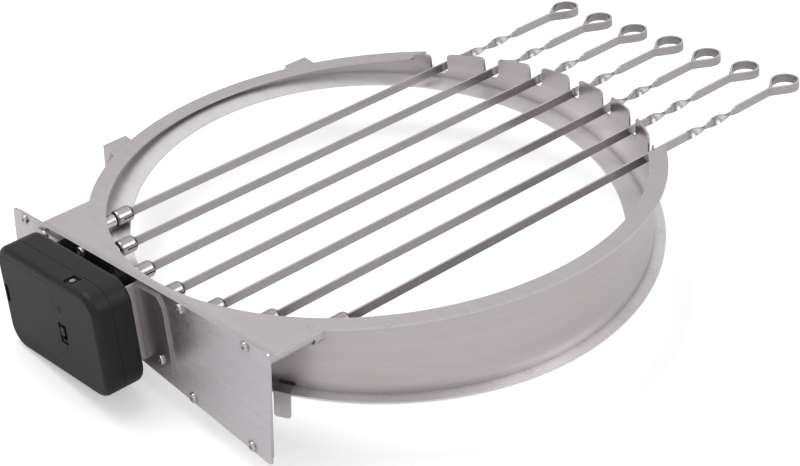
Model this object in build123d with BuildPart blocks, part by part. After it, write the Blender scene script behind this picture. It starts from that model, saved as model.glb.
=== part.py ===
"""Rotisserie ring with seven geared skewers and a battery drive.

Row frame: millimetres, +Z up.  The origin is the centre of the underside of
the bottom flange, the face that rests on the rim of the grill.  +Y points
along the skewers towards their handles, the drive hangs on the -Y side, and
the wedge-shaped ring is lowest at -X (hinge side) and highest at +X.
"Front" is -Y, "rear" is +Y and "left" is -X.
Most of the mechanism is laid out in the tilted top frame: x and z measured in
the plane of the top flange, whose upper face is z = 0.
"""
from build123d import *
from math import acos, atan2, cos, pi, radians, sin, sqrt, tan
import os

os.makedirs("parts", exist_ok=True)

# ------------------------------------------------------------ ring
WEDGE = 9.0                 # angle between the top flange and the bottom flange
MID_HEIGHT = 44.2           # height of the ring at its centre
WALL_R_IN = 238.4           # inside radius of the ring wall
SHEET = 2.0                 # sheet thickness of ring and bracket
WALL_R_OUT = WALL_R_IN + SHEET
TOP_R_IN = 235.0            # the top flange reaches a little inside the wall
TOP_R_OUT = 251.0
BOTTOM_R_IN = 216.5
BOTTOM_R_OUT = 251.0
BOTTOM_FRONT_Y = -239.6     # the bottom flange is cut straight behind the gears
TAB_TOP = 2.0               # rear tabs stand this much above the top flange
SLOT_W = 14.0               # skewer slots in the rear wall
SLOT_BOTTOM_Z = -18.5
GAP_X0, GAP_X1 = -154.0, 157.0   # the top flange is left out here (rear)
SHELF_X = 161.0             # half width of the shelf in front of the ring
# ------------------------------------------------------------ front plates
PLATE_Y = -250.0            # outer face of the front plate
PLATE_T = 2.0
BEARING_Y = PLATE_Y + PLATE_T        # between the front plate and the bearing plate
PLATES_REAR_Y = BEARING_Y + PLATE_T  # rear face of the bearing plate
PLATE_LIP = 7.7             # the front plate stands above the shelf
PLATE_X0, PLATE_X1 = -193.0, 159.4
PLATE_Z0 = -34.0            # lower edge
# ------------------------------------------------------------ spindles, skewers
PITCH = 47.0                # distance between skewers
COUNT = 7
MIDDLE_X = 5.6              # the middle skewer lies this far to the high side
AXIS_Z = -12.5              # height of the spindle axes
SHAFT_R = 4.0
SOCKET_R = 7.2
SOCKET_LEN = 18.0
MOUTH_R = 215.5             # the socket mouths follow this arc
BUSH_R = 5.5                # rear bushes and their holes in the ring wall
BORE_PLAY = 0.04            # radial play of a shaft in its bush
BLADE_W, BLADE_T = 8.0, 2.0
TIP_IN = 13.0               # how far the blade goes into its socket
TWIST_Y0 = 235.4            # the twisted grip starts here
HALF_TURN = 33.0            # length of each of its two half turns
TWIST_STEPS = 12
LOOP_Y = 370.5              # centres of the end loops
LOOP_R = 13.3               # outside radius of a loop
NECK_SIN = 0.567            # sine of the half angle at the neck of the loop
# ------------------------------------------------------------ gears
CHAIN_MODULE = 1.0
SPINDLE_TEETH, IDLER_TEETH = 16, 34
GEAR_Y0, GEAR_Y1 = -245.2, -241.2    # front and rear faces of the gear chain
GEAR_GAP = 0.3              # from the gears to what lies behind them
BACKLASH = 0.30
ADDENDUM, DEDENDUM = 0.9, 1.2        # in modules
PRESSURE = radians(20)
DRIVE = 1                   # index of the intermediate gear on the output shaft
IDLER_PIN_R = 2.5
DRIVE_SQUARE = 7.0          # square end of the output shaft
OUT_SHAFT_R = 5.0
DRIVE_BUSH_R = 7.0
BOX_MODULE = 0.8            # gear train inside the drive box
MOTOR_TEETH, WHEEL_TEETH, REDUCTION_TEETH, OUTPUT_TEETH = 12, 40, 12, 56
# ------------------------------------------------------------ drive box
BOX_X0, BOX_X1 = -142.0, 5.5
BOX_Z0, BOX_Z1 = -84.5, 14.0
BOX_Y0, SEAM_Y, BOX_Y1 = -299.5, -282.5, -262.0   # front, seam, rear
BOX_WALL = 2.5
BOX_R = 20.0                # corner radius
FRONT_IN_Y = BOX_Y0 + BOX_WALL       # inside face of the front wall
REAR_IN_Y = BOX_Y1 - BOX_WALL        # inside face of the rear wall
MOUNTS = [(-100.0, -58.0), (-24.0, -58.0)]   # screws from the bracket to the box
MOUNT_R = 2.0

# ------------------------------------------------------------ frames
TILT = radians(WEDGE)
HALF_TILT = TILT / 2
TOP_ORIGIN = (-MID_HEIGHT * sin(HALF_TILT), 0, MID_HEIGHT * cos(HALF_TILT))
TOP = Plane(origin=TOP_ORIGIN, x_dir=(cos(TILT), 0, sin(TILT)),
            z_dir=(-sin(TILT), 0, cos(TILT)))
# halfway between the two flanges, tilted by half the wedge
MID = Plane(origin=(TOP_ORIGIN[0] / 2, 0, TOP_ORIGIN[2] / 2),
            x_dir=(cos(HALF_TILT), 0, sin(HALF_TILT)),
            z_dir=(-sin(HALF_TILT), 0, cos(HALF_TILT)))


def to_row(x, z):
    """Top-frame x, z to row X, Z."""
    return (TOP_ORIGIN[0] + x * cos(TILT) - z * sin(TILT),
            TOP_ORIGIN[2] + x * sin(TILT) + z * cos(TILT))


def front(y, x=0.0, z=0.0):
    """Plane facing -Y at y; its own x and y run along the top frame's x and z."""
    row_x, row_z = to_row(x, z)
    return Plane(origin=(row_x, y, row_z), x_dir=TOP.x_dir, z_dir=(0, -1, 0))


def above(z, x=0.0, y=0.0):
    """Plane parallel to the top flange, with its origin at top-frame x, y, z."""
    row_x, row_z = to_row(x, z)
    return Plane(origin=(row_x, y, row_z), x_dir=TOP.x_dir, z_dir=TOP.z_dir)


def level(y):
    """Plane facing -Y whose x and y are the row's X and Z."""
    return Plane(origin=(0, y, 0), x_dir=(1, 0, 0), z_dir=(0, -1, 0))


def arc_y(x, radius):
    """Y of the front half of a circle about the ring's axis."""
    return -sqrt(radius * radius - x * x)


def save(builder, name):
    builder.part.label = name
    export_step(builder.part, f"parts/{name}.step")


# ------------------------------------------------------------ gear geometry
def involute(angle):
    return tan(angle) - angle


def gear_outline(teeth, module, phase):
    """Polygon of a spur gear with involute flanks; a tooth is centred on phase."""
    pitch_r = module * teeth / 2
    base_r = pitch_r * cos(PRESSURE)
    tip_r = pitch_r + ADDENDUM * module
    root_r = pitch_r - DEDENDUM * module
    half_tooth = (pi * module / 2 - BACKLASH) / (2 * pitch_r) + involute(PRESSURE)
    start_r = max(base_r, root_r + 0.05)
    radii = [start_r + (tip_r - start_r) * part for part in (0, 0.35, 0.7, 1)]
    flank = [(r, half_tooth - involute(acos(min(1.0, base_r / r)))) for r in radii]
    if start_r > root_r + 0.06:
        flank = [(root_r, flank[0][1])] + flank
    points = []
    for k in range(teeth):
        centre = phase + 2 * pi * k / teeth
        points += [(r * cos(centre - a), r * sin(centre - a)) for r, a in flank]
        points += [(r * cos(centre + a), r * sin(centre + a)) for r, a in reversed(flank)]
    return points


def mesh_phase(teeth_a, phase_a, teeth_b, direction):
    """Phase of gear b so that it meshes with gear a; direction runs from a to b."""
    offset = (direction - phase_a) / (2 * pi / teeth_a)
    return direction + pi - (0.5 - offset) * 2 * pi / teeth_b


def save_gear(name, teeth, module, phase, x, z, rear_y, width,
              bore_r=0.0, square_bore=0.0, hole_ring=None):
    """Flat gear; hole_ring is (ring radius, hole radius) of five round holes."""
    with BuildPart() as gear:
        with BuildSketch(front(rear_y, x, z)):
            with BuildLine():
                Polyline(*gear_outline(teeth, module, phase), close=True)
            make_face()
            if square_bore:
                Rectangle(square_bore, square_bore, mode=Mode.SUBTRACT)
            else:
                Circle(bore_r, mode=Mode.SUBTRACT)
            if hole_ring:
                with PolarLocations(hole_ring[0], 5):
                    Circle(hole_ring[1], mode=Mode.SUBTRACT)
        extrude(amount=width)
    save(gear, name)


# gear chain: spindle gears in a row, intermediate gears below and between them
ROWS = [MIDDLE_X + PITCH * (i - (COUNT - 1) / 2) for i in range(COUNT)]
AXES = [(x, AXIS_Z) for x in ROWS]
CHAIN_DIST = CHAIN_MODULE * (SPINDLE_TEETH + IDLER_TEETH) / 2 + 0.1
IDLER_X = [(a + b) / 2 for a, b in zip(ROWS, ROWS[1:])]
IDLER_Z = AXIS_Z - sqrt(CHAIN_DIST**2 - (PITCH / 2) ** 2)
IDLER_PINS = [(x, IDLER_Z) for i, x in enumerate(IDLER_X) if i != DRIVE]
OUT_X, OUT_Z = IDLER_X[DRIVE], IDLER_Z

spindle_phases, idler_phases = [0.0], []
down_angle = atan2(IDLER_Z - AXIS_Z, PITCH / 2)
for _ in IDLER_X:
    idler_phases.append(
        mesh_phase(SPINDLE_TEETH, spindle_phases[-1], IDLER_TEETH, down_angle))
    spindle_phases.append(
        mesh_phase(IDLER_TEETH, idler_phases[-1], SPINDLE_TEETH, -down_angle))

# drive box: output gear, reduction gear, motor pinion
BOX_GEAR_PLAY = 0.08
OUT_TO_RED = radians(-20)
out_dist = BOX_MODULE * (REDUCTION_TEETH + OUTPUT_TEETH) / 2 + BOX_GEAR_PLAY
RED_X, RED_Z = OUT_X + out_dist * cos(OUT_TO_RED), OUT_Z + out_dist * sin(OUT_TO_RED)
RED_TO_MOTOR = radians(-17)
motor_dist = BOX_MODULE * (MOTOR_TEETH + WHEEL_TEETH) / 2 + BOX_GEAR_PLAY
MOTOR_X = RED_X + motor_dist * cos(RED_TO_MOTOR)
MOTOR_Z = RED_Z + motor_dist * sin(RED_TO_MOTOR)
OUTPUT_PHASE = 0.0
WHEEL_PHASE = 0.0
REDUCTION_PHASE = mesh_phase(OUTPUT_TEETH, OUTPUT_PHASE, REDUCTION_TEETH, OUT_TO_RED)
MOTOR_PHASE = mesh_phase(WHEEL_TEETH, WHEEL_PHASE, MOTOR_TEETH, RED_TO_MOTOR)

# ============================================================ ring
CUT_W, CUT_H, CUT_DEPTH = 700, 200, 300   # cutting blocks larger than the ring
SLOT_ROUND_Z = SLOT_BOTTOM_Z + SLOT_W / 2
SLOT_TOP_Z = TAB_TOP + 30                 # open above the tabs

with BuildPart() as ring_wall:
    with BuildSketch(MID.offset(-75)):
        Circle(WALL_R_OUT)
        Circle(WALL_R_IN, mode=Mode.SUBTRACT)
    extrude(amount=150)
    # front half: cut off at the underside of the top flange
    with BuildSketch(front(0)):
        with Locations((0, CUT_H / 2 - SHEET)):
            Rectangle(CUT_W, CUT_H)
    extrude(amount=CUT_DEPTH, mode=Mode.SUBTRACT)
    # rear half: the same, but tabs between skewer slots rise through the flange gap
    with BuildSketch(front(0)) as crown:
        with Locations((0, 100)):
            Rectangle(CUT_W, 320)
        with Locations(((GAP_X0 + GAP_X1) / 2, TAB_TOP - CUT_H / 2)):
            Rectangle(GAP_X1 - GAP_X0, CUT_H, mode=Mode.SUBTRACT)
        with Locations(*[(side * CUT_W / 2, -SHEET - CUT_H / 2) for side in (-1, 1)]):
            Rectangle(CUT_W, CUT_H, mode=Mode.SUBTRACT)
        with Locations(*[(x, (SLOT_TOP_Z + SLOT_ROUND_Z) / 2) for x in ROWS]):
            Rectangle(SLOT_W, SLOT_TOP_Z - SLOT_ROUND_Z)
        with Locations(*[(x, SLOT_ROUND_Z) for x in ROWS]):
            Circle(SLOT_W / 2)
        tab_corners = crown.vertices().filter_by(
            lambda v: abs(v.Y - TAB_TOP) < 0.01 and abs(v.X) < 150)
        fillet(tab_corners, 3.0)
    extrude(amount=-CUT_DEPTH, mode=Mode.SUBTRACT)
    # the wall stands on the bottom flange
    split(bisect_by=Plane.XY.offset(SHEET), keep=Keep.TOP)
    # holes for the spindle bushes
    with BuildSketch(front(-120)):
        with Locations(*AXES):
            Circle(BUSH_R)
    extrude(amount=140, mode=Mode.SUBTRACT)
save(ring_wall, "ring_wall")

with BuildPart() as top_flange:
    with BuildSketch(TOP.offset(-SHEET)):
        Circle(TOP_R_OUT)
        with Locations((0, -200)):   # shelf in front of the ring
            Rectangle(2 * SHELF_X, 100)
        Circle(TOP_R_IN, mode=Mode.SUBTRACT)
        with Locations((0, PLATES_REAR_Y - 50)):
            Rectangle(600, 100, mode=Mode.SUBTRACT)
        with Locations(((GAP_X0 + GAP_X1) / 2, 220)):
            Rectangle(GAP_X1 - GAP_X0, 200, mode=Mode.SUBTRACT)
    extrude(amount=SHEET)
save(top_flange, "top_flange")

with BuildPart() as bottom_flange:
    with BuildSketch(Plane.XY):
        Circle(BOTTOM_R_OUT)
        Circle(BOTTOM_R_IN, mode=Mode.SUBTRACT)
        with Locations((0, BOTTOM_FRONT_Y - 50)):
            Rectangle(600, 100, mode=Mode.SUBTRACT)
    extrude(amount=SHEET)
save(bottom_flange, "bottom_flange")

# ------------------------------------------------------------ locating legs
# two tangent legs near the front plate and two angle brackets on the hinge side
LEG_H = 22.0                     # below the bottom flange
LEG_W = 14
LEG_TAB = 10.4                   # tab bent inwards onto the bottom flange
LEG_R = BOTTOM_R_OUT + SHEET / 2 + 0.05
ANGLE_X0 = -245.0                # outer face of the angle brackets
ANGLE_W = 25
ANGLE_FOOT = 20
ANGLE_Z0 = -18
WEB = [(ANGLE_X0, 3), (-234, 3), (-243, ANGLE_Z0), (ANGLE_X0, ANGLE_Z0)]   # X, Z

with BuildPart() as locating_legs:
    for angle in (radians(-58.7), radians(-121.3)):
        leg = Plane(origin=(LEG_R * cos(angle), LEG_R * sin(angle), -LEG_H),
                    x_dir=(-sin(angle), cos(angle), 0), z_dir=(0, 0, 1))
        with BuildSketch(leg):
            Rectangle(LEG_W, SHEET)
        extrude(amount=LEG_H + 2 * SHEET)
        tips = locating_legs.edges().filter_by(
            lambda e: abs(e.center().Z + LEG_H) < 0.01 and abs(e.length - SHEET) < 0.01)
        fillet(tips, 2.5)
        with BuildSketch(leg.offset(LEG_H + SHEET)):
            with Locations((0, (LEG_TAB - SHEET) / 2)):
                Rectangle(LEG_W, LEG_TAB)
        extrude(amount=SHEET)
    for y in (-108.5, 106.0):
        with BuildSketch(Plane.XY.offset(SHEET)):
            with Locations((ANGLE_X0 + ANGLE_FOOT / 2, y)):
                Rectangle(ANGLE_FOOT, ANGLE_W)
        extrude(amount=SHEET)
        with BuildSketch(Plane.XY.offset(ANGLE_Z0)):
            with Locations((ANGLE_X0 + SHEET / 2, y)):
                Rectangle(SHEET, ANGLE_W)
        extrude(amount=2 * SHEET - ANGLE_Z0)
        with BuildSketch(level(y - ANGLE_W / 2)):
            with BuildLine():
                Polyline(*WEB, close=True)
            make_face()
        extrude(amount=-SHEET)
save(locating_legs, "locating_legs")

# gussets under the ends of the shelf, between the plates and the ring
GUSSET_H = 12
with BuildPart() as shelf_gussets:
    for side in (-1, 1):
        with BuildSketch(front(PLATES_REAR_Y, side * (SHELF_X - SHEET / 2), -SHEET)):
            with Locations((0, -GUSSET_H / 2)):
                Rectangle(SHEET, GUSSET_H)
        extrude(amount=-50)
save(shelf_gussets, "shelf_gussets")

# ============================================================ front plates
SCREW_R = 1.75
SCREW_INSET = 5.0                # from the plate's upper and lower edges
SCREWS = [to_row(x, PLATE_LIP - SCREW_INSET) for x in (-173.0, -86.0, 53.0, 137.0)]
SCREWS += [(x, PLATE_Z0 + SCREW_INSET) for x in (-180.0, -95.0, 60.0, 136.0)]
FEET_SCREWS = [(15.0, -60.0), (-140.0, 0.0), (-140.0, -40.0)]   # top frame
# (radius, places in the row frame) of the holes through both plates
PLATE_HOLES = [(SCREW_R, SCREWS + [to_row(x, z) for x, z in FEET_SCREWS]),
               (DRIVE_BUSH_R, [to_row(OUT_X, OUT_Z)])]
FRONT_BUSH_R = 5.0
BEARING_HOLES = [(FRONT_BUSH_R, [to_row(x, z) for x, z in AXES]),
                 (IDLER_PIN_R, [to_row(x, z) for x, z in IDLER_PINS])]


def plate_outline(inset):
    """Level lower edge, upright ends, and an upper edge along the tilted shelf."""
    lip_x, lip_z = to_row(0, PLATE_LIP)
    x0, x1, z0 = PLATE_X0 + inset, PLATE_X1 - inset, PLATE_Z0 + inset
    return [(x0, z0), (x1, z0),
            (x1, lip_z + (x1 - lip_x) * tan(TILT) - inset),
            (x0, lip_z + (x0 - lip_x) * tan(TILT) - inset)]


def save_plate(name, rear_y, inset, corner_r, holes):
    with BuildPart() as plate:
        with BuildSketch(level(rear_y)) as outline:
            with BuildLine():
                Polyline(*plate_outline(inset), close=True)
            make_face()
            fillet(outline.vertices(), corner_r)
            for radius, spots in holes:
                with Locations(*spots):
                    Circle(radius, mode=Mode.SUBTRACT)
        extrude(amount=PLATE_T)
    save(plate, name)


save_plate("front_plate", BEARING_Y, inset=0.0, corner_r=3.0, holes=PLATE_HOLES)
save_plate("bearing_plate", PLATES_REAR_Y, inset=1.5, corner_r=6.0,
           holes=PLATE_HOLES + BEARING_HOLES)


def save_socket_screws(name, plane, spots, seat_y):
    """Screws through both plates, with round hex-socket heads in front of seat_y."""
    head_r, head_h = 4.5, 2.2
    with BuildPart() as screws:
        with BuildSketch(plane(PLATES_REAR_Y)):
            with Locations(*spots):
                Circle(SCREW_R)
        extrude(amount=PLATES_REAR_Y - seat_y + 1.0)
        with BuildSketch(plane(seat_y)):
            with Locations(*spots):
                Circle(head_r)
        extrude(amount=head_h)
        head_rims = screws.edges().filter_by(GeomType.CIRCLE).filter_by(
            lambda e: abs(e.radius - head_r) < 0.01
            and abs(e.center().Y - (seat_y - head_h)) < 0.01)
        fillet(head_rims, 1.5)
        with BuildSketch(plane(seat_y - head_h)):
            with Locations(*spots):
                RegularPolygon(1.9, 6)
        extrude(amount=-1.3, mode=Mode.SUBTRACT)
    save(screws, name)


save_socket_screws("plate_screws", level, SCREWS, PLATE_Y)

# ============================================================ bearings
SPINDLE_BORE_R = SHAFT_R + BORE_PLAY
BUSH_COLLAR = 0.6                # collar behind the bearing plate
with BuildPart() as front_bushes:
    with BuildSketch(front(PLATES_REAR_Y)):
        with Locations(*AXES):
            Circle(FRONT_BUSH_R)
            Circle(SPINDLE_BORE_R, mode=Mode.SUBTRACT)
    extrude(amount=PLATE_T)
    with BuildSketch(front(PLATES_REAR_Y + BUSH_COLLAR)):
        with Locations(*AXES):
            Circle(6)
            Circle(SPINDLE_BORE_R, mode=Mode.SUBTRACT)
    extrude(amount=BUSH_COLLAR)
save(front_bushes, "front_bushes")

with BuildPart() as rear_bushes:
    for x in ROWS:
        # from just short of the socket to just outside the ring wall
        y1 = arc_y(x, MOUTH_R) - SOCKET_LEN - 1.0
        y0 = max(arc_y(max(abs(x) - BUSH_R, 0), WALL_R_OUT) - 1.0, GEAR_Y1 + GEAR_GAP)
        with BuildSketch(front(y1, x, AXIS_Z)):
            Circle(BUSH_R)
            Circle(SPINDLE_BORE_R, mode=Mode.SUBTRACT)
        extrude(amount=y1 - y0)
save(rear_bushes, "rear_bushes")

PIN_END_Y = GEAR_Y1 + 1.0
with BuildPart() as idler_pins:
    with BuildSketch(front(PIN_END_Y)):
        with Locations(*IDLER_PINS):
            Circle(IDLER_PIN_R)
    extrude(amount=PIN_END_Y - BEARING_Y)
save(idler_pins, "idler_pins")

CLIP_T = 0.6
with BuildPart() as idler_clips:
    with BuildSketch(front(GEAR_Y1 + GEAR_GAP + CLIP_T)):
        with Locations(*IDLER_PINS):
            Circle(4.5)
            Circle(IDLER_PIN_R, mode=Mode.SUBTRACT)
    extrude(amount=CLIP_T)
save(idler_clips, "idler_clips")

with BuildPart() as drive_bush:
    with BuildSketch(front(PLATES_REAR_Y, OUT_X, OUT_Z)):
        Circle(DRIVE_BUSH_R)
        Circle(OUT_SHAFT_R + BORE_PLAY, mode=Mode.SUBTRACT)
    extrude(amount=2 * PLATE_T)
save(drive_bush, "drive_bush")

# ============================================================ gear chain
for i, x in enumerate(IDLER_X):
    if i == DRIVE:
        name = "drive_gear"
        cutouts = dict(square_bore=DRIVE_SQUARE, hole_ring=(11, 2.5))
    else:
        name = f"idler_gear_{i + 1}"
        cutouts = dict(bore_r=IDLER_PIN_R + 0.05, hole_ring=(10, 3))
    save_gear(name, IDLER_TEETH, CHAIN_MODULE, idler_phases[i], x, IDLER_Z,
              GEAR_Y1, GEAR_Y1 - GEAR_Y0, **cutouts)

for i, x in enumerate(ROWS):
    save_gear(f"spindle_gear_{i + 1}", SPINDLE_TEETH, CHAIN_MODULE, spindle_phases[i],
              x, AXIS_Z, GEAR_Y1, GEAR_Y1 - GEAR_Y0, bore_r=SHAFT_R)


# ============================================================ spindles and skewers
def save_spindle(name, x):
    mouth = arc_y(x, MOUTH_R)
    back = mouth - SOCKET_LEN
    shaft_end = BEARING_Y + 0.3
    with BuildPart() as spindle:
        with BuildSketch(front(back, x, AXIS_Z)):
            Circle(SHAFT_R)
        extrude(amount=back - shaft_end)
        with BuildSketch(front(mouth, x, AXIS_Z)):
            Circle(SOCKET_R)
        extrude(amount=SOCKET_LEN)
        rims = spindle.edges().filter_by(GeomType.CIRCLE).filter_by(
            lambda e: abs(e.radius - SOCKET_R) < 0.01)
        shaft_rim = rims.sort_by(Axis.Y)[0]
        mouth_rim = rims.sort_by(Axis.Y)[-1]
        fillet(shaft_rim, 2.4)
        fillet(mouth_rim, 4.4)
        # flat pocket that turns the blade
        with BuildSketch(front(mouth, x, AXIS_Z)):
            Rectangle(BLADE_T + 0.3, BLADE_W + 0.4)
        extrude(amount=TIP_IN + 0.5, mode=Mode.SUBTRACT)
        # spring slit across the mouth
        with BuildSketch(front(mouth, x, AXIS_Z)):
            Rectangle(2 * SOCKET_R + 2, 1.2)
        extrude(amount=12.5, mode=Mode.SUBTRACT)
    save(spindle, name)


def neck_outline(radius):
    """Point of a teardrop: apex, tangent point, centre and tangent point."""
    side_x, side_y = radius * sqrt(1 - NECK_SIN**2), -radius * NECK_SIN
    return [(0, -radius / NECK_SIN), (side_x, side_y), (0, 0), (-side_x, side_y)]


def save_skewer(name, x):
    tip = arc_y(x, MOUTH_R) - TIP_IN
    twist_len = 2 * HALF_TURN
    loop_in = LOOP_R - BLADE_T
    apex_out, apex_in = LOOP_R / NECK_SIN, loop_in / NECK_SIN
    neck_len = LOOP_Y - (TWIST_Y0 + twist_len) - apex_in
    with BuildPart() as skewer:
        # straight blade, standing on edge
        with BuildSketch(front(TWIST_Y0, x, AXIS_Z)):
            Rectangle(BLADE_T, BLADE_W)
        extrude(amount=TWIST_Y0 - tip)
        # twisted grip: two half turns, lofted in 30 degree steps
        for k in range(TWIST_STEPS):
            for step in (k, k + 1):
                with BuildSketch(front(TWIST_Y0 + twist_len * step / TWIST_STEPS,
                                       x, AXIS_Z)):
                    Rectangle(BLADE_T, BLADE_W, rotation=360 * step / TWIST_STEPS)
            loft()
        # end loop: the strip bent round an upright axis into a teardrop; its
        # end comes back to the neck and stops just short of the strip
        with BuildSketch(above(AXIS_Z - BLADE_W / 2, x, LOOP_Y)):
            Circle(LOOP_R)
            with BuildLine():
                Polyline(*neck_outline(LOOP_R), close=True)
            make_face()
            with Locations((0, -apex_in - neck_len / 2)):
                Rectangle(BLADE_T, neck_len)
            Circle(loop_in, mode=Mode.SUBTRACT)
            with BuildLine():
                Polyline(*neck_outline(loop_in), close=True)
            make_face(mode=Mode.SUBTRACT)
            with Locations((-1.25, -(apex_out + apex_in) / 2)):
                Rectangle(0.5, apex_out - apex_in + 2, mode=Mode.SUBTRACT)
        extrude(amount=BLADE_W)
    save(skewer, name)


for i, x in enumerate(ROWS):
    save_spindle(f"spindle_{i + 1}", x)
    save_skewer(f"skewer_{i + 1}", x)

# ============================================================ motor bracket
# hat-shaped sheet: two feet on the front plate, two webs, and a seat for the drive
SEAT_X0, SEAT_X1 = -118.0, -7.0
FOOT_LEN = 37
FOOT_X0, FOOT_X1 = SEAT_X0 - FOOT_LEN, SEAT_X1 + FOOT_LEN
FOOT_Y = PLATE_Y - SHEET         # front face of the feet
SEAT_REAR_Y = BOX_Y1 + SHEET
BRACKET_TOP_Z, BRACKET_H = 3.0, 71
HAT = [   # x, y
    (FOOT_X1, PLATE_Y), (FOOT_X1, FOOT_Y), (SEAT_X1, FOOT_Y), (SEAT_X1, BOX_Y1),
    (SEAT_X0, BOX_Y1), (SEAT_X0, FOOT_Y), (FOOT_X0, FOOT_Y), (FOOT_X0, PLATE_Y),
    (SEAT_X0 + SHEET, PLATE_Y), (SEAT_X0 + SHEET, SEAT_REAR_Y),
    (SEAT_X1 - SHEET, SEAT_REAR_Y), (SEAT_X1 - SHEET, PLATE_Y),
]
LEFT_CUT = [(SEAT_X0 + 2.5, -80), (SEAT_X0 + 2.5, -68),
            (SEAT_X0 - 40, -48), (SEAT_X0 - 40, -80)]   # x, z

with BuildPart() as motor_bracket:
    with BuildSketch(above(BRACKET_TOP_Z)):
        with BuildLine():
            Polyline(*HAT, close=True)
        make_face()
    extrude(amount=-BRACKET_H)
    # the left end follows the rising lower edge of the front plate
    with BuildSketch(front(PLATE_Y)):
        with BuildLine():
            Polyline(*LEFT_CUT, close=True)
        make_face()
    extrude(amount=11.9, mode=Mode.SUBTRACT)
    # bevelled upper corners of the feet
    for side, end_x in ((1, FOOT_X1), (-1, FOOT_X0)):
        with BuildSketch(front(PLATE_Y)):
            with BuildLine():
                Polyline((end_x, 4.5), (end_x, -6), (end_x - side * 7, 4.5), close=True)
            make_face()
        extrude(amount=3, mode=Mode.SUBTRACT)
    with BuildSketch(front(PLATE_Y)):
        with Locations(*FEET_SCREWS):
            Circle(SCREW_R)
    extrude(amount=2.5, mode=Mode.SUBTRACT)
    # seat holes: output shaft and box mount screws
    with BuildSketch(front(PLATE_Y)):
        with Locations((OUT_X, OUT_Z)):
            Circle(9)
        with Locations(*MOUNTS):
            Circle(MOUNT_R)
    extrude(amount=14, mode=Mode.SUBTRACT)
save(motor_bracket, "motor_bracket")

save_socket_screws("bracket_screws", front, FEET_SCREWS, FOOT_Y)

# two screws from behind hold the drive box to the bracket
MOUNT_DEPTH = 5.5                # screw length inside the box
MOUNT_HEAD_R, MOUNT_HEAD_H = 3.75, 1.8
with BuildPart() as box_mount_screws:
    with BuildSketch(front(SEAT_REAR_Y)):
        with Locations(*MOUNTS):
            Circle(MOUNT_R)
    extrude(amount=SHEET + MOUNT_DEPTH)
    with BuildSketch(front(SEAT_REAR_Y + MOUNT_HEAD_H)):
        with Locations(*MOUNTS):
            Circle(MOUNT_HEAD_R)
    extrude(amount=MOUNT_HEAD_H)
save(box_mount_screws, "box_mount_screws")

# ============================================================ drive box
BOX_X, BOX_Z = (BOX_X0 + BOX_X1) / 2, (BOX_Z0 + BOX_Z1) / 2
BOX_W, BOX_H = BOX_X1 - BOX_X0, BOX_Z1 - BOX_Z0
CAVITY_W, CAVITY_H = BOX_W - 2 * BOX_WALL, BOX_H - 2 * BOX_WALL
CASE_SCREWS = [(-112.0, 8.7), (-8.0, 3.0), (-112.0, -79.2), (-8.0, -73.0)]
CASE_SCREW_R, CASE_BOSS_R = 1.5, 3
AXLE_R = 1.5                     # axle of the reduction gear
AXLE_REAR_Y = BOX_Y1 - 1.0
DOOR_X, DOOR_Z = -97.0, -34.0    # centre of the battery opening
DOOR_W, DOOR_H, DOOR_R = 78.0, 77.0, 7
DOOR_GAP = 0.35
SWITCH_X, SWITCH_Z = -50.0, -39.0
RECESS_X, RECESS_Y = -34.25, -290.75   # square recess in the top
RECESS_SIDE = 11.5
RECESS_Z = BOX_Z1 - 1.6          # its floor
LOCK_R = 1.1                     # lock screw in the recess
BAY_WALL_X, BAY_WALL_T = -57.5, 1.4    # partition between battery bay and drive
BAY_Z, BAY_H = -35.5, 61
BAY_DEPTH = 13.5                 # the bay reaches this far behind the seam

with BuildPart() as box_rear:
    with BuildSketch(front(BOX_Y1, BOX_X, BOX_Z)):
        RectangleRounded(BOX_W, BOX_H, BOX_R)
    extrude(amount=BOX_Y1 - SEAM_Y)
    rear_rim = box_rear.faces().sort_by(Axis.Y)[-1].edges()
    fillet(rear_rim, 5.0)
    with BuildSketch(front(REAR_IN_Y, BOX_X, BOX_Z)):
        RectangleRounded(CAVITY_W, CAVITY_H, BOX_R - BOX_WALL)
    extrude(amount=BOX_Y1 - SEAM_Y, mode=Mode.SUBTRACT)
    # bosses of the case screws and the mount screws
    with BuildSketch(front(REAR_IN_Y)):
        with Locations(*CASE_SCREWS):
            Circle(CASE_BOSS_R)
    extrude(amount=REAR_IN_Y - SEAM_Y)
    with BuildSketch(front(REAR_IN_Y)):
        with Locations(*MOUNTS):
            Circle(4)
    extrude(amount=4)
    with BuildSketch(front(BOX_Y1)):
        with Locations(*MOUNTS):
            Circle(MOUNT_R)
    extrude(amount=MOUNT_DEPTH, mode=Mode.SUBTRACT)
    # hole for the output shaft
    with BuildSketch(front(BOX_Y1)):
        with Locations((OUT_X, OUT_Z)):
            Circle(OUT_SHAFT_R + 0.05)
    extrude(amount=10, mode=Mode.SUBTRACT)
    with BuildSketch(front(BOX_Y1)):
        with Locations(*CASE_SCREWS):
            Circle(CASE_SCREW_R)
    extrude(amount=40, mode=Mode.SUBTRACT)
    # blind seat of the reduction gear's axle
    with BuildSketch(front(AXLE_REAR_Y)):
        with Locations((RED_X, RED_Z)):
            Circle(AXLE_R)
    extrude(amount=4, mode=Mode.SUBTRACT)
save(box_rear, "box_rear")

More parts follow.
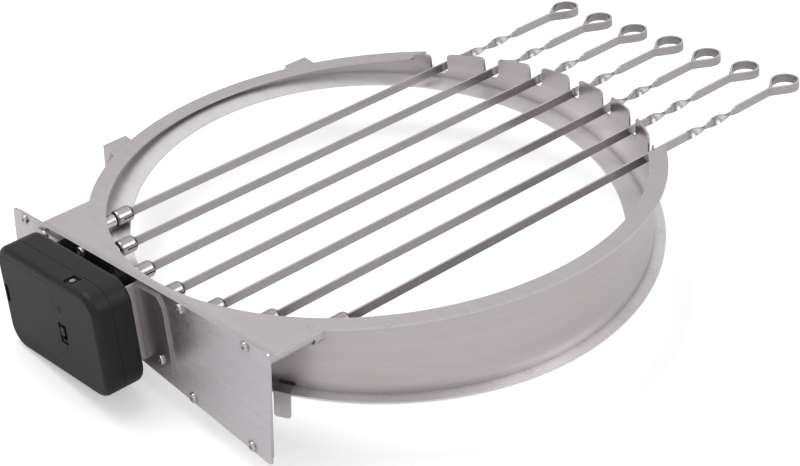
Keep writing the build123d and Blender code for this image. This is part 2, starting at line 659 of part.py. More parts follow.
with BuildPart() as box_front:
    with BuildSketch(front(SEAM_Y, BOX_X, BOX_Z)):
        RectangleRounded(BOX_W, BOX_H, BOX_R)
    extrude(amount=SEAM_Y - BOX_Y0)
    front_rim = box_front.faces().sort_by(Axis.Y)[0].edges()
    fillet(front_rim, 6.0)
    with BuildSketch(front(SEAM_Y, BOX_X, BOX_Z)):
        RectangleRounded(CAVITY_W, CAVITY_H, BOX_R - BOX_WALL)
    extrude(amount=SEAM_Y - FRONT_IN_Y, mode=Mode.SUBTRACT)
    with BuildSketch(front(SEAM_Y)):
        with Locations(*CASE_SCREWS):
            Circle(CASE_BOSS_R)
    extrude(amount=SEAM_Y - FRONT_IN_Y)
    with BuildSketch(front(SEAM_Y)):
        with Locations(*CASE_SCREWS):
            Circle(CASE_SCREW_R)
    extrude(amount=11.5, mode=Mode.SUBTRACT)
    # battery opening and switch slot
    with BuildSketch(front(BOX_Y0 + 10)):
        with Locations((DOOR_X, DOOR_Z)):
            RectangleRounded(DOOR_W, DOOR_H, DOOR_R)
        with Locations((SWITCH_X, SWITCH_Z)):
            Rectangle(6.0, 13.0)
    extrude(amount=12, mode=Mode.SUBTRACT)
    # shallow recess round the switch
    with BuildSketch(front(BOX_Y0 + 1.2)):
        with Locations((SWITCH_X, SWITCH_Z)):
            RectangleRounded(11, 20, 1.0)
    extrude(amount=2, mode=Mode.SUBTRACT)
    # off mark (ring) above the switch and on mark (bar) below it
    with BuildSketch(front(BOX_Y0 + 0.4)):
        with Locations((SWITCH_X + 0.8, SWITCH_Z + 23.5)):
            Circle(3.1)
            Circle(2.1, mode=Mode.SUBTRACT)
        with Locations((SWITCH_X + 0.2, SWITCH_Z - 15.6)):
            Rectangle(1.1, 5.4)
    extrude(amount=2, mode=Mode.SUBTRACT)
    # recess in the top with a hole for the lock screw
    with BuildSketch(above(RECESS_Z, RECESS_X, RECESS_Y)):
        Rectangle(RECESS_SIDE, RECESS_SIDE)
    extrude(amount=5, mode=Mode.SUBTRACT)
    with BuildSketch(above(BOX_Z1, RECESS_X, RECESS_Y)):
        Circle(LOCK_R)
    extrude(amount=-6, mode=Mode.SUBTRACT)
    # partition beside the battery bay and the floor behind the cells
    with BuildSketch(front(SEAM_Y)):
        with Locations((BAY_WALL_X, BOX_Z)):
            Rectangle(BAY_WALL_T, CAVITY_H)
    extrude(amount=SEAM_Y - FRONT_IN_Y - 2.6)
    with BuildSketch(front(SEAM_Y + BAY_DEPTH)):
        with Locations((BAY_WALL_X, BAY_Z)):
            Rectangle(BAY_WALL_T, BAY_H)
    extrude(amount=BAY_DEPTH)
    with BuildSketch(front(SEAM_Y + BAY_DEPTH)):
        with Locations((-98.3, BAY_Z)):
            Rectangle(81.5, BAY_H)
    extrude(amount=0.8)
save(box_front, "box_front")

with BuildPart() as battery_door:
    with BuildSketch(front(FRONT_IN_Y)):
        with Locations((DOOR_X, DOOR_Z)):
            RectangleRounded(DOOR_W - 2 * DOOR_GAP, DOOR_H - 2 * DOOR_GAP, DOOR_R - DOOR_GAP)
    extrude(amount=BOX_WALL)
    # finger notch at the left edge
    with BuildSketch(front(BOX_Y0)):
        with Locations((DOOR_X - DOOR_W / 2 + DOOR_GAP + 1.5, -32.5)):
            SlotOverall(17, 7, rotation=90)
    extrude(amount=-1.5, mode=Mode.SUBTRACT)
save(battery_door, "battery_door")

# ------------------------------------------------------------ switch
KNOB_Z = SWITCH_Z + 5.0 / 2      # half the travel above the middle
KNOB_Y = BOX_Y0 - 0.6            # front face of the knob
with BuildPart() as switch_slider:
    with BuildSketch(front(FRONT_IN_Y + 0.4, SWITCH_X, KNOB_Z)):
        Rectangle(5.4, 7.0)
    extrude(amount=FRONT_IN_Y + 0.4 - KNOB_Y)
    # retaining plate behind the front wall
    with BuildSketch(front(FRONT_IN_Y + 1.4, SWITCH_X, KNOB_Z)):
        Rectangle(9, 12)
    extrude(amount=1.2)
    # grip grooves
    for dz in (-1.8, 0, 1.8):
        with BuildSketch(front(KNOB_Y, SWITCH_X, KNOB_Z + dz)):
            Rectangle(6, 0.6)
        extrude(amount=-0.5, mode=Mode.SUBTRACT)
save(switch_slider, "switch_slider")

with BuildPart() as switch_body:
    with BuildSketch(front(FRONT_IN_Y + 8.5, SWITCH_X, SWITCH_Z)):
        Rectangle(12, 26)
    extrude(amount=6.8)
save(switch_body, "switch_body")

# ------------------------------------------------------------ box screws
with BuildPart() as case_screws:
    with BuildSketch(front(BOX_Y1 - 2.0)):
        with Locations(*CASE_SCREWS):
            Circle(CASE_SCREW_R)
    extrude(amount=30)
save(case_screws, "case_screws")

LOCK_HEAD_H = 1.3
with BuildPart() as lock_screw:
    head = above(RECESS_Z, RECESS_X, RECESS_Y)
    with BuildSketch(head):
        Circle(2.3)
    extrude(amount=LOCK_HEAD_H)
    with BuildSketch(head):
        Circle(LOCK_R)
    extrude(amount=-3.0)
    # cross slot
    with BuildSketch(head.offset(LOCK_HEAD_H)):
        Rectangle(3.2, 0.7)
        Rectangle(0.7, 3.2)
    extrude(amount=-0.7, mode=Mode.SUBTRACT)
save(lock_screw, "lock_screw")

# ------------------------------------------------------------ batteries
CELL_MID_X, CELL_PITCH = -98.2, 26.3
CELL_X = [CELL_MID_X + CELL_PITCH * i for i in (-1, 0, 1)]
CELL_Y, CELL_Z0 = -283.2, -61.5
CELL_R, CELL_LEN = 13.0, 50
CONTACT_T = 0.8

with BuildPart() as battery_cells:
    for x in CELL_X:
        base = above(CELL_Z0, x, CELL_Y)
        with BuildSketch(base):
            Circle(CELL_R)
        extrude(amount=CELL_LEN)
        with BuildSketch(base.offset(CELL_LEN)):
            Circle(4.5)
        extrude(amount=1.5)
save(battery_cells, "battery_cells")

with BuildPart() as battery_contacts:
    # the lower strip joins the cells, the upper pads are separate
    with BuildSketch(front(-276.0, CELL_MID_X, -62.4)):
        Rectangle(66, CONTACT_T)
    extrude(amount=14)
    for x in CELL_X:
        with BuildSketch(front(-277.0, x, -9.4)):
            Rectangle(12, CONTACT_T)
        extrude(amount=12)
save(battery_contacts, "battery_contacts")

# ------------------------------------------------------------ gear motor
MOTOR_Y = -274.2                 # rear face of the motor body
NOSE_LEN = 1.8                   # round nose behind it
NOSE_Y = MOTOR_Y + NOSE_LEN
MOTOR_BORE_R = 1.06
with BuildPart() as dc_motor:
    with BuildSketch(front(MOTOR_Y, MOTOR_X, MOTOR_Z)):
        Circle(12.0)
    extrude(amount=22.6)
    with BuildSketch(front(NOSE_Y, MOTOR_X, MOTOR_Z)):
        Circle(4.0)
        Circle(MOTOR_BORE_R, mode=Mode.SUBTRACT)
    extrude(amount=NOSE_LEN)
    with BuildSketch(front(MOTOR_Y, MOTOR_X, MOTOR_Z)):
        Circle(MOTOR_BORE_R)
    extrude(amount=17, mode=Mode.SUBTRACT)
save(dc_motor, "dc_motor")

PINION_Y, PINION_W = -268.7, 3.3
with BuildPart() as motor_pinion:
    with BuildSketch(front(PINION_Y, MOTOR_X, MOTOR_Z)):
        with BuildLine():
            Polyline(*gear_outline(MOTOR_TEETH, BOX_MODULE, MOTOR_PHASE), close=True)
        make_face()
    extrude(amount=PINION_W)
    # motor shaft
    with BuildSketch(front(PINION_Y - PINION_W, MOTOR_X, MOTOR_Z)):
        Circle(1.0)
    extrude(amount=18)
save(motor_pinion, "motor_pinion")

# ------------------------------------------------------------ reduction and output
OUTPUT_Y = -265.2                # rear face of the output gear and the small gear
WHEEL_Y, WHEEL_W = -268.9, 2.9
SHOULDER_Y = -246.2              # the output shaft turns square here
SQUARE_LEN = 5.6

with BuildPart() as reduction_gear:
    with BuildSketch(front(WHEEL_Y, RED_X, RED_Z)):
        with BuildLine():
            Polyline(*gear_outline(WHEEL_TEETH, BOX_MODULE, WHEEL_PHASE), close=True)
        make_face()
    extrude(amount=WHEEL_W)
    with BuildSketch(front(OUTPUT_Y, RED_X, RED_Z)):
        with BuildLine():
            Polyline(*gear_outline(REDUCTION_TEETH, BOX_MODULE, REDUCTION_PHASE), close=True)
        make_face()
    extrude(amount=OUTPUT_Y - WHEEL_Y)
    with BuildSketch(front(-265.0, RED_X, RED_Z)):
        Circle(AXLE_R + 0.05)
    extrude(amount=8, mode=Mode.SUBTRACT)
save(reduction_gear, "reduction_gear")

with BuildPart() as reduction_axle:
    with BuildSketch(front(AXLE_REAR_Y, RED_X, RED_Z)):
        Circle(AXLE_R)
    extrude(amount=AXLE_REAR_Y + 272.6)
save(reduction_axle, "reduction_axle")

save_gear("output_gear", OUTPUT_TEETH, BOX_MODULE, OUTPUT_PHASE, OUT_X, OUT_Z,
          OUTPUT_Y, 3.0, bore_r=OUT_SHAFT_R)

with BuildPart() as output_shaft:
    with BuildSketch(front(SHOULDER_Y, OUT_X, OUT_Z)):
        Circle(OUT_SHAFT_R)
    extrude(amount=SHOULDER_Y + 268.4)
    with BuildSketch(front(SHOULDER_Y + SQUARE_LEN, OUT_X, OUT_Z)):
        Rectangle(DRIVE_SQUARE, DRIVE_SQUARE)
    extrude(amount=SQUARE_LEN)
save(output_shaft, "output_shaft")

with BuildPart() as battery_leads:
    # two straight round leads above the switch body, running front to rear
    for x in (-48.0, -44.0):
        with BuildSketch(front(-279.5, x, -6.0)):
            Circle(0.8)
        extrude(amount=16.5)
save(battery_leads, "battery_leads")
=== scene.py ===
"""Looks of a rotisserie ring: materials, two small bars, floor, light and camera.

The ring stands on its axis, +Z up, centred on the origin of its frame, and -Y is the front.
Its top is tilted about Y, so that it rises towards +X. Lengths are in metres, except those
named _MM, which are millimetres in the frame of the tilted top.
"""
import bpy, bmesh, math, random
from mathutils import Vector, Matrix


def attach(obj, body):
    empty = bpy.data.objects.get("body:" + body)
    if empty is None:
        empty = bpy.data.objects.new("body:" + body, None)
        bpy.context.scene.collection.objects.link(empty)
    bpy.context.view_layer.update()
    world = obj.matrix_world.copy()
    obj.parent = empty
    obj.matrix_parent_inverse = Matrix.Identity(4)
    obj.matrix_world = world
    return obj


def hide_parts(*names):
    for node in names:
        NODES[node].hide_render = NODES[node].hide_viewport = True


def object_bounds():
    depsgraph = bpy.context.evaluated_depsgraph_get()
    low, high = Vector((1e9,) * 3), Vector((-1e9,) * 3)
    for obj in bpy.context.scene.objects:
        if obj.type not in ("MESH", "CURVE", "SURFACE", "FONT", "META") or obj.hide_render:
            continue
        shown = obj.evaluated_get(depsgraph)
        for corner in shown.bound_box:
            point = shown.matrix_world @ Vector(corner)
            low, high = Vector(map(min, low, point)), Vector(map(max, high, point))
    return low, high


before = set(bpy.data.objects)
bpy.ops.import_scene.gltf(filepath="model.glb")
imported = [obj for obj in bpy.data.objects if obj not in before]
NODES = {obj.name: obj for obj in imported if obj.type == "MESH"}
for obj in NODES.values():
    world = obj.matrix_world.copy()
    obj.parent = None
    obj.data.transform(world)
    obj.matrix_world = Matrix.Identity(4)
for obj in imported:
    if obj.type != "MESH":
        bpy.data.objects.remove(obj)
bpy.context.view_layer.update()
random.seed(7)

# ------------------------------------------------------------------ tilted top
TILT = math.radians(9.0)
TOP_DISTANCE = 0.0442       # from the ring's origin to the top frame's, leaning by half the tilt
TOP_FRAME = (
    Matrix.Translation((-TOP_DISTANCE * math.sin(TILT / 2), 0, TOP_DISTANCE * math.cos(TILT / 2)))
    @ Matrix.Rotation(-TILT, 4, "Y"))


# ------------------------------------------------------------------ node graphs
def scaled(colour, factor, lift=0.0, limit=math.inf):
    """A colour made lighter or darker, channel by channel."""
    return tuple(min(limit, c * factor + lift) for c in colour)


class Graph:
    """Builds the nodes of a material or a world, starting from an empty tree."""

    def __init__(self, owner):
        owner.use_nodes = True
        self.tree = owner.node_tree
        self.tree.nodes.clear()

    def feed(self, node, inputs):
        """Link or set inputs, given as {name or index: socket or value}. Colours have no alpha."""
        for key, value in inputs.items():
            socket = node.inputs[key]
            if isinstance(value, bpy.types.NodeSocket):
                self.tree.links.new(value, socket)
            elif socket.type == "RGBA":
                socket.default_value = (*value, 1)
            else:
                socket.default_value = value

    def add(self, kind, inputs=None, **settings):
        node = self.tree.nodes.new("ShaderNode" + kind)
        for key, value in settings.items():
            setattr(node, key, value)
        self.feed(node, inputs or {})
        return node

    def calc(self, operation, a, b=None, clamp=False):
        inputs = {0: a} if b is None else {0: a, 1: b}
        return self.add("Math", inputs, operation=operation, use_clamp=clamp).outputs[0]

    def plus(self, a, b, clamp=False):
        return self.calc("ADD", a, b, clamp)

    def minus(self, a, b, clamp=False):
        return self.calc("SUBTRACT", a, b, clamp)

    def times(self, a, b, clamp=False):
        return self.calc("MULTIPLY", a, b, clamp)

    def sway(self, value, amount):
        """Turn 0..1 into a swing about zero, amount wide."""
        return self.times(self.minus(value, 0.5), amount)

    def rise(self, value, start, slope):
        """0 up to start, then climbing at slope as far as 1."""
        return self.times(self.minus(value, start), slope, clamp=True)

    def hypot(self, a, b):
        return self.calc("SQRT", self.plus(self.times(a, a), self.times(b, b)))

    def polar(self, x, y):
        """Angle about Z and distance from it."""
        return self.calc("ARCTAN2", y, x), self.hypot(x, y)

    def split(self, vector):
        """X, Y and Z of a vector."""
        return self.add("SeparateXYZ", {0: vector}).outputs[:3]

    def noise(self, vector, scale, detail=4.0, rough=0.55, distortion=0.0):
        return self.add("TexNoise", {"Vector": vector, "Scale": scale, "Detail": detail,
                                     "Roughness": rough, "Distortion": distortion}).outputs["Fac"]

    def stretched_noise(self, vector, scales, detail=4.0, rough=0.55):
        """Noise with its own frequency along each axis."""
        mapped = self.add("Mapping", {"Vector": vector, "Scale": scales}).outputs[0]
        return self.noise(mapped, 1.0, detail, rough)

    def ramp(self, fac, stops, interpolation="LINEAR"):
        """Colour ramp; stops are (position, colour)."""
        node = self.add("ValToRGB", {0: fac})
        node.color_ramp.interpolation = interpolation
        elements = node.color_ramp.elements
        while len(elements) < len(stops):
            elements.new(0.5)
        for element, (position, colour) in zip(elements, stops):
            element.position = position
            element.color = (*colour, 1)
        return node.outputs[0]

    def remap(self, value, low, high, source=(0.0, 1.0)):
        """Carry the source range over to low..high."""
        return self.add("MapRange", {"Value": value, "From Min": source[0], "From Max": source[1],
                                     "To Min": low, "To Max": high}).outputs[0]

    def mix(self, fac, a, b, blend="MIX"):
        return self.add("Mix", data_type="RGBA", blend_type=blend,
                        inputs={0: fac, 6: a, 7: b}).outputs[2]

    def multiply(self, a, b):
        return self.mix(1.0, a, b, blend="MULTIPLY")

    def mix_shader(self, fac, a, b):
        return self.add("MixShader", {0: fac, 1: a, 2: b}).outputs[0]


class Mat(Graph):
    """A material with one Principled shader, textured in object coordinates."""

    def __init__(self, name):
        self.material = bpy.data.materials.new(name)
        super().__init__(self.material)
        self.out = self.add("OutputMaterial")
        self.bsdf = self.add("BsdfPrincipled")
        self.feed(self.out, {0: self.bsdf.outputs[0]})
        self.obj = self.add("TexCoord").outputs["Object"]

    def normal(self):
        """X, Y and Z of the surface normal."""
        return self.split(self.add("NewGeometry").outputs["Normal"])

    def edge(self, radius):
        """0 on flat faces, towards 1 on sharp edges."""
        gain = 3.0
        rounded = self.add("Bevel", {"Radius": radius}, samples=4).outputs[0]
        flat = self.add("NewGeometry").outputs["True Normal"]
        dot = self.add("VectorMath", {0: rounded, 1: flat}, operation="DOT_PRODUCT")
        return self.times(self.minus(1.0, dot.outputs["Value"]), gain, clamp=True)

    def shade(self, colour, distance, power, low):
        """Painted shade: darken a colour, down to low, in corners and between close faces."""
        ao = self.add("AmbientOcclusion", {"Distance": distance}, samples=6).outputs["AO"]
        return self.multiply(colour, self.remap(self.calc("POWER", ao, power), low, 1.0))

    def bump(self, height, strength, distance):
        node = self.add("Bump", {"Strength": strength, "Distance": distance, "Height": height})
        self.feed(self.bsdf, {"Normal": node.outputs[0]})


# ------------------------------------------------------------------ brushed steel
def ring_brushing(m):
    """Fine and wide streaks around the ring, level with the middle of its tilted band."""
    arc_radius = 0.236      # turns the angle into a length along the band
    x, y, z = m.split(m.obj)
    angle, radius = m.polar(x, y)
    along = m.add("CombineXYZ", {
        0: m.times(angle, arc_radius),
        1: radius,
        2: m.minus(z, m.times(x, math.tan(TILT / 2)))}).outputs[0]
    return (m.stretched_noise(along, (6, 900, 1500), detail=3.0, rough=0.6),
            m.stretched_noise(along, (2.2, 60, 210), rough=0.6))


def straight_brushing(m, axis):
    """Fine and wide streaks along one axis."""
    def scales(along, across):
        return tuple(along if a == axis else across for a in "xyz")
    return (m.stretched_noise(m.obj, scales(8, 1500), detail=3.0, rough=0.6),
            m.stretched_noise(m.obj, scales(3, 170), rough=0.6))


def weld_rings(m, colour):
    """Faint rings left by the spot welds, evenly spaced around the flange."""
    step = 2 * math.pi / 26
    turn = 0.37                         # offset of the first ring, in steps
    arc_radius = 0.243                  # turns the angle into a length along the flange
    row_radius = 0.2435                 # circle that the welds lie on
    ring_radius, ring_fade = 0.0031, 0.0009
    x, y, _ = m.split(m.obj)
    angle, radius = m.polar(x, y)
    turns = m.plus(m.calc("DIVIDE", angle, step), turn)
    around = m.times(m.minus(m.calc("FRACT", turns), 0.5), step * arc_radius)
    distance = m.hypot(around, m.minus(radius, row_radius))
    off_ring = m.calc("ABSOLUTE", m.minus(distance, ring_radius))
    mask = m.minus(1.0, m.calc("DIVIDE", off_ring, ring_fade), clamp=True)
    mask = m.times(mask, m.remap(m.noise(m.obj, scale=60, detail=2), 0.0, 0.55))
    return m.mix(mask, colour, (0.42, 0.40, 0.385))


def brushed(name, mode, base, rough, aniso, tint=0.05, streak=1.0, welds=False, topside=None,
            occlusion=(0.03, 1.3, 0.3)):
    """Brushed stainless sheet.

    mode: axis of the brushing, x, y or z, or ring for around the ring's axis
    tint: how far it takes a warm cast in clouds; streak: contrast of the brushing
    topside: painted highlight, the colour of faces that look up; occlusion: distance, power and
    low of the painted shade of Mat.shade
    """
    m = Mat(name)
    fine, wide = ring_brushing(m) if mode == "ring" else straight_brushing(m, mode)
    cloud = m.noise(m.obj, scale=9.0, detail=5.0, rough=0.6, distortion=0.3)
    smudge = m.noise(m.obj, scale=38.0, detail=4.0, rough=0.65, distortion=0.8)

    colour = m.mix(wide, scaled(base, 1 - 0.10 * streak), scaled(base, 1 + 0.08 * streak))
    warmth = m.times(m.remap(cloud, -0.6, 1.5), tint, clamp=True)
    colour = m.multiply(colour, m.mix(warmth, (1, 1, 1), (0.93, 0.86, 0.79)))
    if welds:
        colour = weld_rings(m, colour)
    # painted highlight: faces that look up take the lighter topside colour
    if topside is not None:
        top_highlight_mask = m.rise(m.normal()[2], start=0.90, slope=12.0)
        colour = m.mix(top_highlight_mask, colour, topside)
    # painted shade in corners and between close faces
    colour = m.shade(colour, *occlusion)
    colour = m.mix(m.times(m.edge(0.0005), 0.6), colour, (0.90, 0.89, 0.90))

    roughness = m.plus(m.remap(fine, *rough), m.sway(smudge, 0.12))
    roughness = m.plus(roughness, m.sway(cloud, 0.10), clamp=True)
    if mode == "ring":
        tangent = m.add("Tangent", direction_type="RADIAL", axis="Z")
    else:
        tangent = m.add("CombineXYZ", {i: float(a == mode) for i, a in enumerate("xyz")})
    m.feed(m.bsdf, {"Base Color": colour, "Metallic": 1.0, "Roughness": roughness,
                    "Anisotropic": aniso, "Tangent": tangent.outputs[0]})
    m.bump(fine, strength=0.10 * streak, distance=0.00012)
    return m.material


# ------------------------------------------------------------------ other materials
def polished(name):
    """Turned and polished steel: fine lathe rings about Y, small scratches."""
    base = (0.60, 0.57, 0.575)
    m = Mat(name)
    lathe = m.stretched_noise(m.obj, (40, 2600, 40), detail=2.0)
    cloud = m.noise(m.obj, scale=70.0, detail=4.0, rough=0.6)
    scratches = m.stretched_noise(m.obj, (500, 60, 900), detail=3.0, rough=0.7)
    # painted shade: faces turned towards +Y are made nearly black
    rearward_shade = m.rise(m.normal()[1], start=0.22, slope=3.2)
    colour = m.mix(cloud, scaled(base, 0.85), base)
    colour = m.mix(m.times(rearward_shade, 0.93), colour, (0.030, 0.028, 0.028))
    # painted shade in corners and between close faces, through Mat.shade
    m.feed(m.bsdf, {
        "Base Color": m.shade(colour, distance=0.02, power=1.6, low=0.12),
        "Metallic": 1.0,
        "Roughness": m.plus(m.remap(lathe, 0.14, 0.30), m.sway(cloud, 0.12), clamp=True)})
    m.bump(m.plus(lathe, m.times(scratches, 0.4)), strength=0.06, distance=0.00008)
    return m.material


def machined(name, base, rough, metal=1.0, oil=0.3):
    """Cut or sintered metal: fine grain, greasy darker patches (oil sets how strong)."""
    m = Mat(name)
    grain = m.noise(m.obj, scale=1400.0, detail=3.0, rough=0.6)
    patch = m.noise(m.obj, scale=90.0, detail=4.0, rough=0.6)
    grease = m.times(m.remap(patch, -0.5, 1.4), oil, clamp=True)
    colour = m.mix(grease, base, scaled(base, 0.6))
    colour = m.mix(m.times(m.edge(0.0003), 0.5), colour, scaled(base, 1.4, limit=1))
    m.feed(m.bsdf, {
        "Base Color": colour,
        "Metallic": metal,
        "Roughness": m.plus(m.remap(grain, *rough), m.sway(patch, -0.2), clamp=True)})
    m.bump(grain, strength=0.15, distance=0.00006)
    return m.material


def plastic(name, base, rough, grain, wear, specular=0.5, seam_y=None):
    """Moulded plastic: fine pebble, a little dust, paler and glossier edges.

    grain: strength of the pebble; wear: how pale the edges are
    seam_y: where a groove runs that reflects nothing
    """
    m = Mat(name)
    pebble = m.add("TexVoronoi", {"Vector": m.obj, "Scale": 1900.0}, feature="F1")
    fine = m.noise(m.obj, scale=2600.0, detail=2.0, rough=0.5)
    cloud = m.noise(m.obj, scale=14.0, detail=4.0, rough=0.6, distortion=0.4)
    dust = m.noise(m.obj, scale=170.0, detail=6.0, rough=0.75)

    colour = m.mix(cloud, scaled(base, 0.82), scaled(base, 1.22, lift=0.002))
    specks = m.ramp(dust, [(0.66, (0, 0, 0)), (0.72, (1, 1, 1))])
    colour = m.mix(m.times(specks, 0.05), colour, (0.35, 0.34, 0.33))
    edge = m.edge(0.0012)
    colour = m.mix(m.times(edge, wear), colour, scaled(base, 2.2, lift=0.02))
    # painted shade in corners and between close faces
    colour = m.shade(colour, distance=0.02, power=1.2, low=0.35)

    roughness = m.plus(m.remap(fine, *rough), m.sway(cloud, 0.16), clamp=True)
    roughness = m.minus(roughness, m.times(edge, 0.12), clamp=True)
    m.feed(m.bsdf, {"Base Color": colour, "Roughness": roughness, "IOR": 1.5,
                    "Specular IOR Level": specular})
    if seam_y is not None:
        gap = m.calc("ABSOLUTE", m.minus(m.split(m.obj)[1], seam_y))
        lit = m.rise(gap, start=0.00028, slope=4500.0)
        m.feed(m.bsdf, {"Specular IOR Level": m.times(lit, specular)})
    height = m.plus(pebble.outputs["Distance"], m.times(fine, 0.5))
    m.bump(height, strength=grain, distance=0.00010)
    return m.material


BAND = brushed("steel_band", "ring", base=(0.61, 0.577, 0.592), rough=(0.28, 0.40), aniso=0.6,
               tint=0.30, occlusion=(0.010, 1.2, 0.45))
FLANGE = brushed("steel_flange", "x", base=(0.68, 0.643, 0.665), rough=(0.34, 0.46), aniso=0.25,
                 welds=True, occlusion=(0.010, 1.2, 0.4))
# painted light: the bottom flange is the flange's steel painted lighter for the light it catches
LIT_LOWER_FLANGE = brushed("steel_flange_lower_lit", "x", base=(0.88, 0.86, 0.87), rough=(0.36, 0.50),
                       aniso=0.2, welds=True, occlusion=(0.005, 1.0, 0.6))
PLATE = brushed("steel_plate", "x", base=(0.69, 0.653, 0.678), rough=(0.22, 0.34), aniso=0.55)
SHEET = brushed("steel_sheet", "z", base=(0.62, 0.592, 0.61), rough=(0.28, 0.42), aniso=0.4,
                occlusion=(0.008, 1.0, 0.45))
# painted highlight on the faces that look up, and strong painted shade inside the twisted loops
BLADE = brushed("steel_blade", "y", base=(0.50, 0.475, 0.487), rough=(0.18, 0.32), aniso=0.4,
                streak=1.5, topside=(0.84, 0.815, 0.83), occlusion=(0.035, 1.6, 0.2))
POLISHED = polished("steel_polished")
SCREW = machined("steel_screw", base=(0.62, 0.62, 0.63), rough=(0.2, 0.34), oil=0.25)
GEAR = machined("steel_gear", base=(0.46, 0.455, 0.45), rough=(0.32, 0.46), oil=0.5)
BRONZE = machined("bronze_bush", base=(0.56, 0.36, 0.18), rough=(0.36, 0.5), oil=0.5)
CASE = dict(base=(0.013, 0.0125, 0.0135), rough=(0.34, 0.50), grain=0.30, wear=0.5,
            specular=0.27)
BLACK = plastic("plastic_black", **CASE, seam_y=-0.2825)
DOOR = plastic("plastic_door", **CASE)
SWITCH = plastic("plastic_switch", base=(0.012, 0.012, 0.013), rough=(0.3, 0.42), grain=0.08,
                 wear=0.5)
WHITE = plastic("plastic_white", base=(0.78, 0.77, 0.72), rough=(0.35, 0.5), grain=0.1, wear=0.1)
CELL = machined("cell_jacket", base=(0.10, 0.14, 0.28), rough=(0.25, 0.35), metal=0.3, oil=0.2)
BRASS = machined("brass_contact", base=(0.74, 0.62, 0.36), rough=(0.2, 0.35))
LEAD = plastic("lead_sheath", base=(0.45, 0.04, 0.03), rough=(0.3, 0.45), grain=0.05, wear=0.1)

# material, pieces that wear it
LOOKS = (
    (BAND, "ring_wall"),
    (FLANGE, "top_flange"),
    (LIT_LOWER_FLANGE, "bottom_flange"),
    (SHEET, "locating_legs shelf_gussets motor_bracket rear_bushes"),
    (PLATE, "front_plate bearing_plate"),
    (SCREW, "plate_screws bracket_screws box_mount_screws case_screws idler_pins idler_clips "
            "reduction_axle lock_screw dc_motor"),
    (BRONZE, "front_bushes drive_bush"),
    (BLACK, "box_rear box_front"),
    (DOOR, "battery_door"),
    (SWITCH, "switch_slider switch_body"),
    (CELL, "battery_cells"),
    (BRASS, "battery_contacts"),
    (LEAD, "battery_leads"),
    (WHITE, "reduction_gear motor_pinion output_gear"),
    (GEAR, "output_shaft drive_gear"),
)
LOOK_OF = {piece: material for material, pieces in LOOKS for piece in pieces.split()}


def look_of(name):
    """Material of a piece; those not in the table go by the kind of name they have."""
    if name in LOOK_OF:
        return LOOK_OF[name]
    if "gear" in name:
        return GEAR
    return POLISHED if name.startswith("spindle") else BLADE


for name, piece in NODES.items():
    if len(piece.material_slots) == 0:
        piece.data.materials.append(look_of(name))
    for slot in piece.material_slots:
        slot.material = look_of(name)


# ------------------------------------------------------------------ softened edges
def bevel(piece, width, segments=2, angle=None):
    """Round the edges sharper than angle, in degrees, or than the modifier's own limit."""
    modifier = piece.modifiers.new("soft_edges", "BEVEL")
    modifier.width = width
    modifier.segments = segments
    if angle is not None:
        modifier.limit_method = "ANGLE"
        modifier.angle_limit = math.radians(angle)


for name in ("front_plate", "bearing_plate", "motor_bracket", "locating_legs", "shelf_gussets",
             "top_flange", "bottom_flange"):
    bevel(NODES[name], width=0.0003, angle=35)
# the shells' rounded rims leave a narrow groove along the seam and round the door
bevel(NODES["box_rear"], width=0.0009, segments=3, angle=50)
bevel(NODES["box_front"], width=0.0007, segments=3, angle=50)
bevel(NODES["battery_door"], width=0.0006, segments=3, angle=50)
for name, piece in NODES.items():
    if name.startswith("skewer_"):
        bevel(piece, width=0.0002, angle=60)


# ------------------------------------------------------------------ meshes
def add_object(name, bm):
    """Turn a bmesh into an object of the scene."""
    mesh = bpy.data.meshes.new(name)
    bm.to_mesh(mesh)
    bm.free()
    made = bpy.data.objects.new(name, mesh)
    bpy.context.scene.collection.objects.link(made)
    return made


BOX_FACES = ((0, 1, 3, 2), (4, 6, 7, 5), (0, 4, 5, 1), (2, 3, 7, 6), (0, 2, 6, 4), (1, 5, 7, 3))


def add_box(bm, xs, ys, zs):
    """Box between pairs of limits, in the top frame's millimetres."""
    corners = [bm.verts.new(TOP_FRAME @ Vector((x / 1000, y / 1000, z / 1000)))
               for x in xs for y in ys for z in zs]
    for face in BOX_FACES:
        bm.faces.new([corners[i] for i in face])


# Bars under the ends of the shelf, running front to back, each with a low block on top
# near either end.
BAR_X_MM = (156.6, 159.9)           # on both sides of the ring
BAR_Y_MM = (-245.9, -193.0)
BAR_Z_MM = (-5.6, -2.5)
BLOCK_INSET_MM = 0.5                # from the bar's sides
BLOCK_LENGTH_MM = 5.0
BLOCK_STARTS_MM = (-199.0, -245.0)
BLOCK_Z_MM = (BAR_Z_MM[1], -2.0)


def build_shelf_bars():
    bm = bmesh.new()
    for side in (-1, 1):
        x_low, x_high = sorted(side * x for x in BAR_X_MM)
        add_box(bm, (x_low, x_high), BAR_Y_MM, BAR_Z_MM)
        for y in BLOCK_STARTS_MM:
            add_box(bm, (x_low + BLOCK_INSET_MM, x_high - BLOCK_INSET_MM),
                    (y, y + BLOCK_LENGTH_MM), BLOCK_Z_MM)
    bmesh.ops.recalc_face_normals(bm, faces=bm.faces)
    bars = add_object("shelf_bars", bm)
    bars.data.materials.append(SHEET)
    bevel(bars, width=0.0004)
    return bars


bars = build_shelf_bars()
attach(bars, "frame")
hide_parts("shelf_gussets")


# ------------------------------------------------------------------ floor
def floor_material():
    """White card that glows a little to the camera and is plain grey in reflections."""
    m = Mat("floor_white")
    cloud = m.noise(m.obj, scale=3.0, detail=3.0)
    ray = m.add("LightPath").outputs
    m.feed(m.bsdf, {
        "Base Color": m.mix(cloud, (0.90, 0.90, 0.90), (0.93, 0.93, 0.93)),
        "Roughness": 0.85,
        "Emission Color": (1, 1, 1),
        "Emission Strength": m.times(ray["Is Camera Ray"], 0.34)})
    mirrored = m.add("BsdfDiffuse", {"Color": (0.80, 0.795, 0.80)}).outputs[0]
    m.feed(m.out, {0: m.mix_shader(ray["Is Glossy Ray"], m.bsdf.outputs[0], mirrored)})
    return m.material


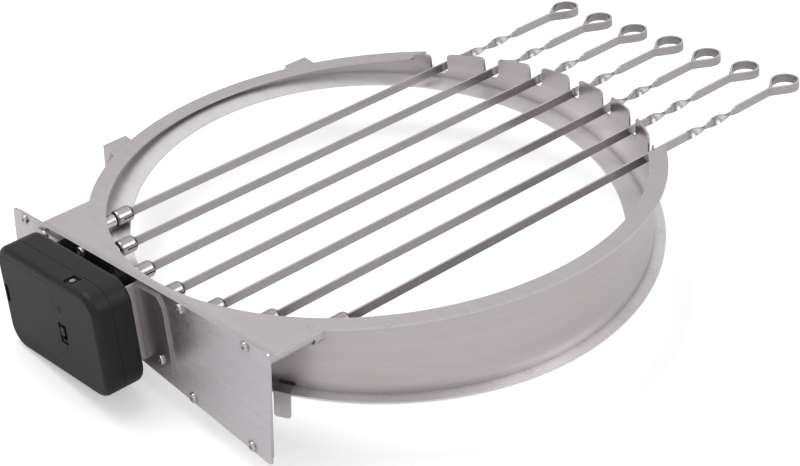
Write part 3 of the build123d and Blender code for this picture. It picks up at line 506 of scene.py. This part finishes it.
FLOOR_HALF_WIDTH = 6.0
FLOOR_GAP = 0.0005                  # below the lowest point
floor_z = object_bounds()[0].z - FLOOR_GAP
bm = bmesh.new()
bmesh.ops.create_grid(bm, x_segments=2, y_segments=2, size=FLOOR_HALF_WIDTH)
floor = add_object("floor", bm)
floor.location = (0, 0, floor_z)
floor.data.materials.append(floor_material())

# ------------------------------------------------------------------ world
# height of the direction above the horizon, brightness mirrored there
ROOM_STOPS = ((0.0, 0.40), (0.10, 0.50), (0.28, 0.62), (0.50, 0.78), (0.72, 0.90), (0.92, 0.96))


def build_world():
    """White to the camera, soft light on matt surfaces, a graded room in the metal."""
    world = bpy.data.worlds.new("studio")
    bpy.context.scene.world = world
    w = Graph(world)
    out = w.add("OutputWorld")

    def background(colour, strength):
        return w.add("Background", {"Color": colour, "Strength": strength}).outputs[0]

    # the room brightens from the horizon upwards and varies broadly from side to side
    direction = w.add("TexCoord").outputs["Generated"]
    room = w.ramp(w.split(direction)[2], [(z, (v, v, v * 0.99)) for z, v in ROOM_STOPS], "EASE")
    patches = w.noise(direction, scale=1.6, detail=1.0, rough=0.5)
    room = w.multiply(room, w.remap(patches, 0.78, 1.12, source=(0.3, 0.7)))
    ray = w.add("LightPath").outputs
    mirrored = background(room, strength=0.95)
    seen = background((1, 1, 1), strength=1.05)
    soft = background((1, 1, 1), strength=0.62)
    lighting = w.mix_shader(ray["Is Glossy Ray"], soft, mirrored)
    w.feed(out, {0: w.mix_shader(ray["Is Camera Ray"], lighting, seen)})


build_world()


# ------------------------------------------------------------------ lights and camera
def area_light(name, location, size, power):
    """Square light aimed at the origin."""
    light = bpy.data.lights.new(name, "AREA")
    light.shape = "RECTANGLE"
    light.size = size
    light.size_y = size
    light.energy = power
    lamp = bpy.data.objects.new(name, light)
    bpy.context.scene.collection.objects.link(lamp)
    lamp.location = location
    lamp.rotation_mode = "QUATERNION"
    lamp.rotation_quaternion = (-Vector(location)).to_track_quat("-Z", "Y")


area_light("key", location=(-0.9, -0.5, 2.3), size=1.6, power=24)
area_light("fill", location=(1.7, 0.9, 1.6), size=1.4, power=10)
area_light("front", location=(0.7, -2.0, 0.9), size=1.2, power=2.0)

CAMERA_PLACE = (1.084562, -0.960648, 1.040025)
# columns: the camera's right, up and backward directions
CAMERA_TURN = Matrix((
    (0.66611080, -0.44632761, 0.59756846),
    (0.74575329, 0.38546875, -0.54338373),
    (0.01218320, 0.80759241, 0.58961518)))
camera_data = bpy.data.cameras.new("camera")
camera_data.sensor_width = 36.0
camera_data.lens = 91.376
camera_data.clip_start = 0.05
camera_data.clip_end = 50
camera = bpy.data.objects.new("camera", camera_data)
bpy.context.scene.collection.objects.link(camera)
camera.matrix_world = Matrix.Translation(CAMERA_PLACE) @ CAMERA_TURN.to_4x4()
bpy.context.scene.camera = camera
bpy.context.scene.view_settings.view_transform = "Standard"
